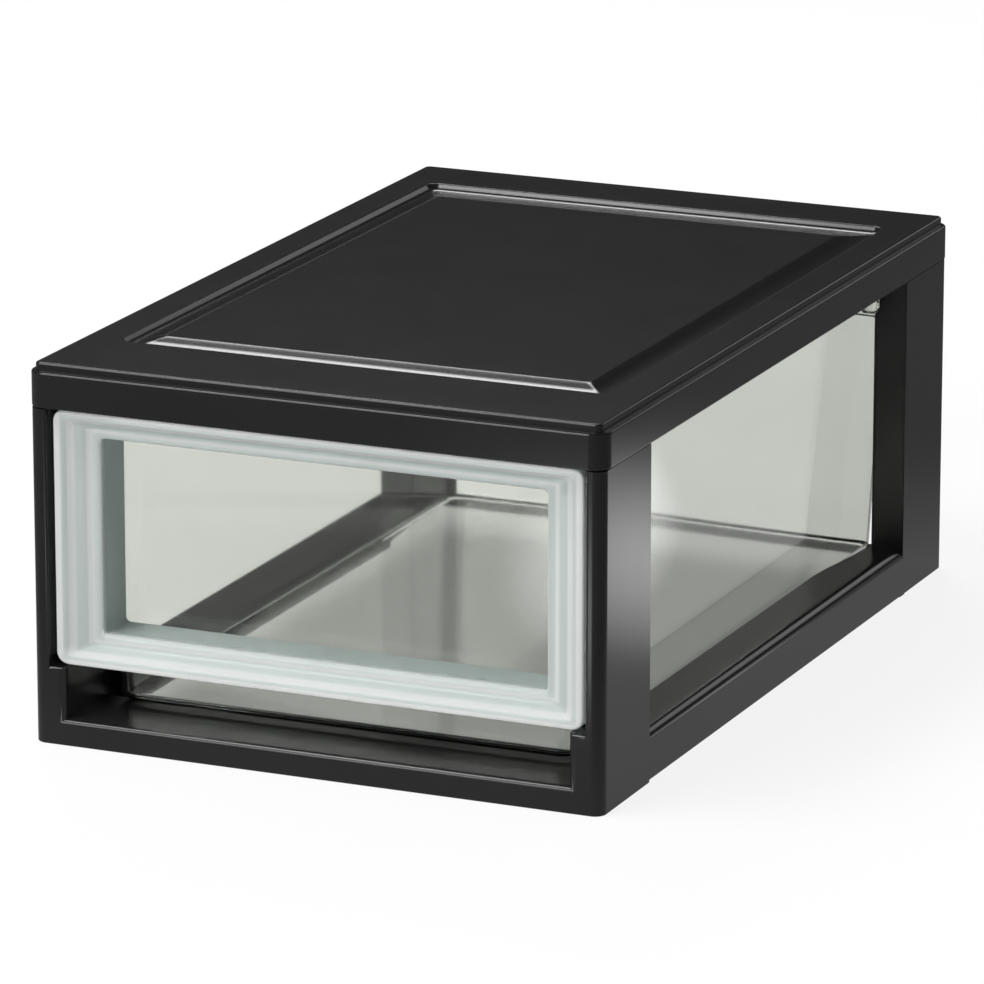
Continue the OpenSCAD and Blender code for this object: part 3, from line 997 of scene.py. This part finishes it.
@dataclass(frozen=True)
class DrawerFront:
    """Milky frame of the drawer front with its dished face and window sleeve."""

    half_x: float = 102.0
    low_z: float = 29.7
    high_z: float = 123.7
    radius: float = 4.5
    edge: float = 0.9
    edge_steps: int = 5
    face_y: float = -169.3
    flange: float = 9.5
    side: float = 16.1
    low: float = 11.4
    high: float = 10.8
    pane_y: float = -147.8
    wall: float = 2.2
    steps: int = 10
    crease: float = 55.0

    # The dished face and the sleeve's mouth, from the rim inwards: depth behind the face, distance in from
    # the sides, the lower edge and the upper edge, and corner radius.
    DISH: ClassVar[tuple[tuple[float, ...], ...]] = (
        (0.00, 2.5, 2.6, 2.5, 3.6), (0.25, 3.3, 3.5, 3.2, 3.3), (1.1, 4.3, 4.2, 3.6, 3.0),
        (2.1, 5.7, 4.9, 4.2, 2.9), (2.75, 6.9, 5.4, 4.7, 2.8), (3.4, 8.3, 5.9, 5.2, 2.7),
        (4.5, 10.8, 6.6, 6.0, 2.6), (5.2, 12.2, 7.2, 6.6, 2.5), (5.35, 12.9, 7.8, 7.3, 2.4),
        (5.3, 13.9, 8.8, 8.2, 2.3), (5.5, 15.0, 9.9, 9.4, 2.2), (5.95, 15.7, 10.9, 10.3, 2.1),
        (6.6, 16.0, 11.3, 10.7, 2.0),
    )

    def level(self, depth: float, side: float, low: float, high: float, radius: float) -> Ring:
        """Return the outline of the frame's section at a depth behind its face."""
        z0, z1 = self.low_z + low, self.high_z - high
        return Ring(self.half_x - side, (z1 - z0) / 2, radius, self.face_y + depth, (z1 + z0) / 2)

    def even(self, depth: float, inset: float, radius: float) -> Ring:
        """Return an outline that lies equally far in from all edges of the frame."""
        return self.level(depth, inset, inset, inset, radius)

    def sleeve(self, depth: float, out: float, radius: float) -> Ring:
        """Return an outline that lies equally far out from all edges of the window."""
        return self.level(depth, self.side - out, self.low - out, self.high - out, radius)

    def rings(self) -> list[Ring]:
        """Draw the frame.

        Returns:
            Its loops, from the flange's back edge over the face, down the sleeve and back outside it.
        """
        back = self.pane_y - self.face_y
        rim = [
            self.even(self.edge * (1 - s), self.edge * (1 - c), self.radius - self.edge * (1 - c))
            for c, s in quarter_turn(self.edge_steps)
        ]
        return [
            self.even(self.flange, self.wall, 2.3),
            self.even(self.flange, 0.3, 4.2),
            self.even(self.flange - 0.4, 0, self.radius),
            *rim,
            *(self.level(*row) for row in self.DISH),
            self.level(8.0, self.side, self.low, self.high, 2.0),
            self.level(back, self.side + 1.2, self.low + 0.5, self.high + 0.5, 2.0),
            self.sleeve(back, 1.9, 3.8),
            self.sleeve(9.2, self.wall, 4.0),
            self.sleeve(8.8, 2.8, 3.0),
            self.even(8.6, 3.2, 2.0),
            self.even(9.0, self.wall, 2.3),
        ]

    def build(self, finishes: Finishes) -> Object:
        """Build the milky frame, dress it and put it on the drawer.

        Args:
            finishes: The box's plastics.

        Returns:
            The finished piece.
        """
        bm = bmesh.new()
        loft(bm, self.rings(), self.steps, Axis.BACK, True)
        obj = finish_piece("drawer_front_milky", bm, self.crease)
        dress(obj, finishes.milky)
        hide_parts("drawer_front")
        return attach(obj, Body.DRAWER.value)


# ---------------------------------------------------------------- studio


@dataclass(frozen=True)
class Softbox:
    """One soft studio lamp.

    Args:
        name: Its name.
        place: Where it stands, in metres.
        aim: What it points at, in metres.
        size: Width and height in metres.
        power: Its power in watts.
    """

    name: str
    place: Place
    aim: Place
    size: tuple[float, float]
    power: float

    def build(self) -> None:
        """Make the lamp."""
        data = bpy.data.lights.new(self.name, "AREA")
        data.shape = "RECTANGLE"
        data.size, data.size_y = self.size
        data.energy = self.power
        obj = new_object(self.name, data)
        obj.location = self.place
        obj.rotation_euler = (Vector(self.aim) - Vector(self.place)).to_track_quat("-Z", "Y").to_euler()


@dataclass(frozen=True)
class Card:
    """One bright bounce card on the floor that only reflections show.

    Args:
        middle: Its middle on the floor, in metres.
        turn: Its turn about the upright, in degrees.
        half: Half width and half length of its soft oval, in metres.
        strength: Brightness of its middle.
    """

    middle: tuple[float, float]
    turn: float
    half: tuple[float, float]
    strength: float


@dataclass(frozen=True)
class Studio:
    """Camera, lamps, floor and pale world.

    Args:
        camera_place: Where the camera stands, in metres.
        tilt: Its tilt from looking straight down, in degrees.
        turn: Its turn about the upright, in degrees.
        lens: Its focal length in millimetres.
        sensor: Its sensor's width in millimetres.
        sight: How far it sees, in metres.
        ambient: Strength at which the world lights the object.
        sky_reach: Heights of a reflected ray, as parts of 1, between which the low sky fades out.
        low_sky: Strength of the sky near the horizon in reflections.
        dark_studio: Strength of the rest of the sky in reflections.
        mirrored: What remains of the white background behind clear plastic that is itself mirrored.
        floor_half: Half of the floor's side, in metres.
        floor_colour: Colour of the floor where lamps light it.
        floor_white: How much of the floor's white shows as such; the rest takes light and shadow.
        ground_reach: Distances from the box's middle between which the reflected floor darkens, in metres.
        ground_near: Strength of the reflected floor near the box.
        ground_far: Strength of the reflected floor far from it.
        footprint: Half width and half depth of the box, in metres, and 1 for its height.
        shade_reach: Parts of the footprint between which the floor under the box gets bright.
        ground_under: Brightness of the floor under the box, a painted shadow.
        cards: Bounce cards.
        boxes: Lamps.
    """

    camera_place: Place = (0.9923, -2.2873, 0.7534)
    tilt: float = 74.488
    turn: float = 23.583
    lens: float = 254.6
    sensor: float = 36.0
    sight: float = 50.0
    ambient: float = 0.45
    sky_reach: tuple[float, float] = (0.01, 0.1)
    low_sky: float = 0.6
    dark_studio: float = 0.02
    mirrored: float = 0.35
    floor_half: float = 12.0
    floor_colour: Colour = (0.9, 0.9, 0.9)
    floor_white: float = 0.85
    ground_reach: tuple[float, float] = (0.15, 0.4)
    ground_near: float = 0.48
    ground_far: float = 0.06
    footprint: Place = (0.11, 0.172, 1.0)
    shade_reach: tuple[float, float] = (0.7, 1.0)
    ground_under: float = 0.4
    cards: tuple[Card, ...] = (
        Card((0.228, 0.15), -23.6, (0.055, 0.16), 4.6),
        Card((0.0, -0.41), -23.6, (0.05, 0.15), 9.0),
    )
    boxes: tuple[Softbox, ...] = (
        Softbox("rear_strip", (-0.66, 1.15, 1.32), (0.0, 0.0, 0.14), (0.75, 0.35), 10.0),
        Softbox("top_box", (-0.68, -0.62, 1.6), (0.0, -0.1, 0.1), (0.6, 0.5), 14.0),
        Softbox("front_fill", (-0.9, -2.0, 1.1), (0.0, -0.15, 0.07), (1.2, 0.9), 28.0),
        Softbox("right_rear", (0.62, 1.85, 0.85), (0.1, 0.0, 0.05), (0.7, 0.55), 1.8),
    )

    WHITE: ClassVar[tuple[float, ...]] = (1.0, 1.0, 1.0, 1.0)

    def build(self) -> None:
        """Set up everything around the object."""
        self.camera()
        for box in self.boxes:
            box.build()
        self.floor()
        self.world()
        bpy.context.scene.view_settings.view_transform = "Standard"

    def camera(self) -> None:
        """Make the camera at the photograph's viewing angle."""
        data = bpy.data.cameras.new("camera")
        data.lens = self.lens
        data.sensor_width = self.sensor
        data.clip_end = self.sight
        cam = new_object("camera", data)
        cam.location = self.camera_place
        cam.rotation_euler = (math.radians(self.tilt), 0.0, math.radians(self.turn))
        bpy.context.scene.camera = cam

    def seen(self, tree: NodeTree, gloss: float | NodeSocket) -> NodeSocket:
        """Return how white the background is to each kind of ray.

        Args:
            tree: Node tree to add it to.
            gloss: Brightness of the background in reflections.

        Returns:
            1 to rays from the camera and through clear plastic, less to those that were mirrored before.
        """
        path = tree.nodes.new("ShaderNodeLightPath").outputs
        once = add_node(
            tree, "ShaderNodeMapRange", Value=path["Glossy Depth"], To_Min=1.0, To_Max=self.mirrored,
        )
        reflected = calc(tree, "MULTIPLY", path["Is Glossy Ray"], gloss)
        through = calc(tree, "MULTIPLY", path["Is Transmission Ray"], once.outputs["Result"])
        direct = calc(tree, "MAXIMUM", reflected, path["Is Camera Ray"])
        return calc(tree, "MAXIMUM", direct, through)

    def ground_glow(self, tree: NodeTree) -> NodeSocket:
        """Return how bright the floor is in reflections: pale near the box, with the bounce cards.

        Args:
            tree: Node tree to add it to.

        Returns:
            The brightness.
        """
        place = tree.nodes.new("ShaderNodeTexCoord").outputs["Object"]
        far = add_node(tree, "ShaderNodeVectorMath", operation="LENGTH", Vector=place).outputs["Value"]
        result = soft_step(tree, far, self.ground_reach, (self.ground_near, self.ground_far))
        for card in self.cards:
            oval = add_node(
                tree, "ShaderNodeMapping", vector_type="TEXTURE", Vector=place, Location=(*card.middle, 0.0),
                Rotation=(0.0, 0.0, math.radians(card.turn)), Scale=(*card.half, 1.0),
            )
            soft = add_node(
                tree, "ShaderNodeTexGradient", gradient_type="SPHERICAL", Vector=oval.outputs["Vector"],
            )
            result = calc(tree, "MULTIPLY_ADD", soft.outputs["Fac"], card.strength, result)
        return result

    def ground_shade(self, tree: NodeTree) -> NodeSocket:
        """Return how much of its brightness the floor keeps: all beside the box, little under it, where a
        shadow is painted.

        Args:
            tree: Node tree to add it to.

        Returns:
            The share that it keeps.
        """
        place = tree.nodes.new("ShaderNodeTexCoord").outputs["Object"]
        part = add_node(tree, "ShaderNodeVectorMath", operation="DIVIDE", Vector=place)
        part.inputs[1].default_value = self.footprint
        size = add_node(tree, "ShaderNodeVectorMath", operation="ABSOLUTE", Vector=part.outputs["Vector"])
        split = add_node(tree, "ShaderNodeSeparateXYZ", Vector=size.outputs["Vector"])
        most = calc(tree, "MAXIMUM", split.outputs["X"], split.outputs["Y"])
        return soft_step(tree, most, self.shade_reach, (self.ground_under, 1.0))

    def floor(self) -> None:
        """Make the pale floor, which shows white and keeps a soft shadow."""
        s = self.floor_half
        mesh = bpy.data.meshes.new("floor")
        mesh.from_pydata([(-s, -s, 0), (s, -s, 0), (s, s, 0), (-s, s, 0)], [], [(0, 1, 2, 3)])
        obj = new_object("floor", mesh)
        mat = bpy.data.materials.new("floor_white")
        mat.use_nodes = True
        tree = mat.node_tree
        shader = tree.nodes["Principled BSDF"]
        shader.inputs["Base Color"].default_value = (*self.floor_colour, 1.0)
        shader.inputs["Roughness"].default_value = 1.0
        shader.inputs["Specular IOR Level"].default_value = 0.0
        white = self.seen(tree, self.ground_glow(tree))
        shade = calc(tree, "MULTIPLY", white, self.ground_shade(tree))
        glow = add_node(tree, "ShaderNodeEmission", Color=self.WHITE, Strength=shade)
        weight = calc(tree, "MULTIPLY", self.seen(tree, 1.0), self.floor_white)
        self.show(tree, weight, shader, glow, "Material Output")
        dress(obj, mat)

    def world(self) -> None:
        """Make the world: white where it is seen, plain where it lights, dark above for reflections."""
        world = bpy.data.worlds.new("studio")
        bpy.context.scene.world = world
        world.use_nodes = True
        tree = world.node_tree
        place = tree.nodes.new("ShaderNodeTexCoord")
        height = add_node(tree, "ShaderNodeSeparateXYZ", Vector=place.outputs["Generated"]).outputs["Z"]
        sky = soft_step(tree, height, self.sky_reach, (self.low_sky, self.dark_studio))
        path = tree.nodes.new("ShaderNodeLightPath")
        level = add_node(tree, "ShaderNodeMix", Factor=path.outputs["Is Glossy Ray"], A=self.ambient, B=sky)
        lit = tree.nodes["Background"]
        lit.inputs["Color"].default_value = self.WHITE
        feed(tree, level.outputs["Result"], lit.inputs["Strength"])
        white = add_node(tree, "ShaderNodeBackground", Color=self.WHITE, Strength=1.0)
        self.show(tree, self.seen(tree, 0.0), lit, white, "World Output")

    def show(self, tree: NodeTree, weight: NodeSocket, lit: Node, seen: Node, output: str) -> None:
        """Mix the shader that takes light with the one that is seen.

        Args:
            tree: Node tree of both.
            weight: Share of the one that is seen.
            lit: The shader that takes light or gives it.
            seen: The shader that is seen.
            output: Name of the tree's output node.
        """
        mix = add_node(tree, "ShaderNodeMixShader", Fac=weight)
        feed(tree, lit.outputs[0], mix.inputs[1])
        feed(tree, seen.outputs[0], mix.inputs[2])
        feed(tree, mix.outputs[0], tree.nodes[output].inputs["Surface"])


def main() -> None:
    logging.basicConfig(level=logging.INFO, format="%(name)s: %(message)s")
    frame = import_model()
    Studio().build()
    finishes = Finishes()
    pieces = [
        Lid().build(finishes),
        CaseFrame("front_frame", "front_posts_and_rail").build(frame, finishes),
        CaseFrame("rear_frame", "rear_posts_and_side_rails").build(frame, finishes),
        DrawerTub().build(finishes),
        DrawerFront().build(finishes),
    ]
    for obj in pieces:
        LOG.info("%s: %d faces", obj.name, len(obj.data.polygons))


if __name__ == "__main__":
    main()
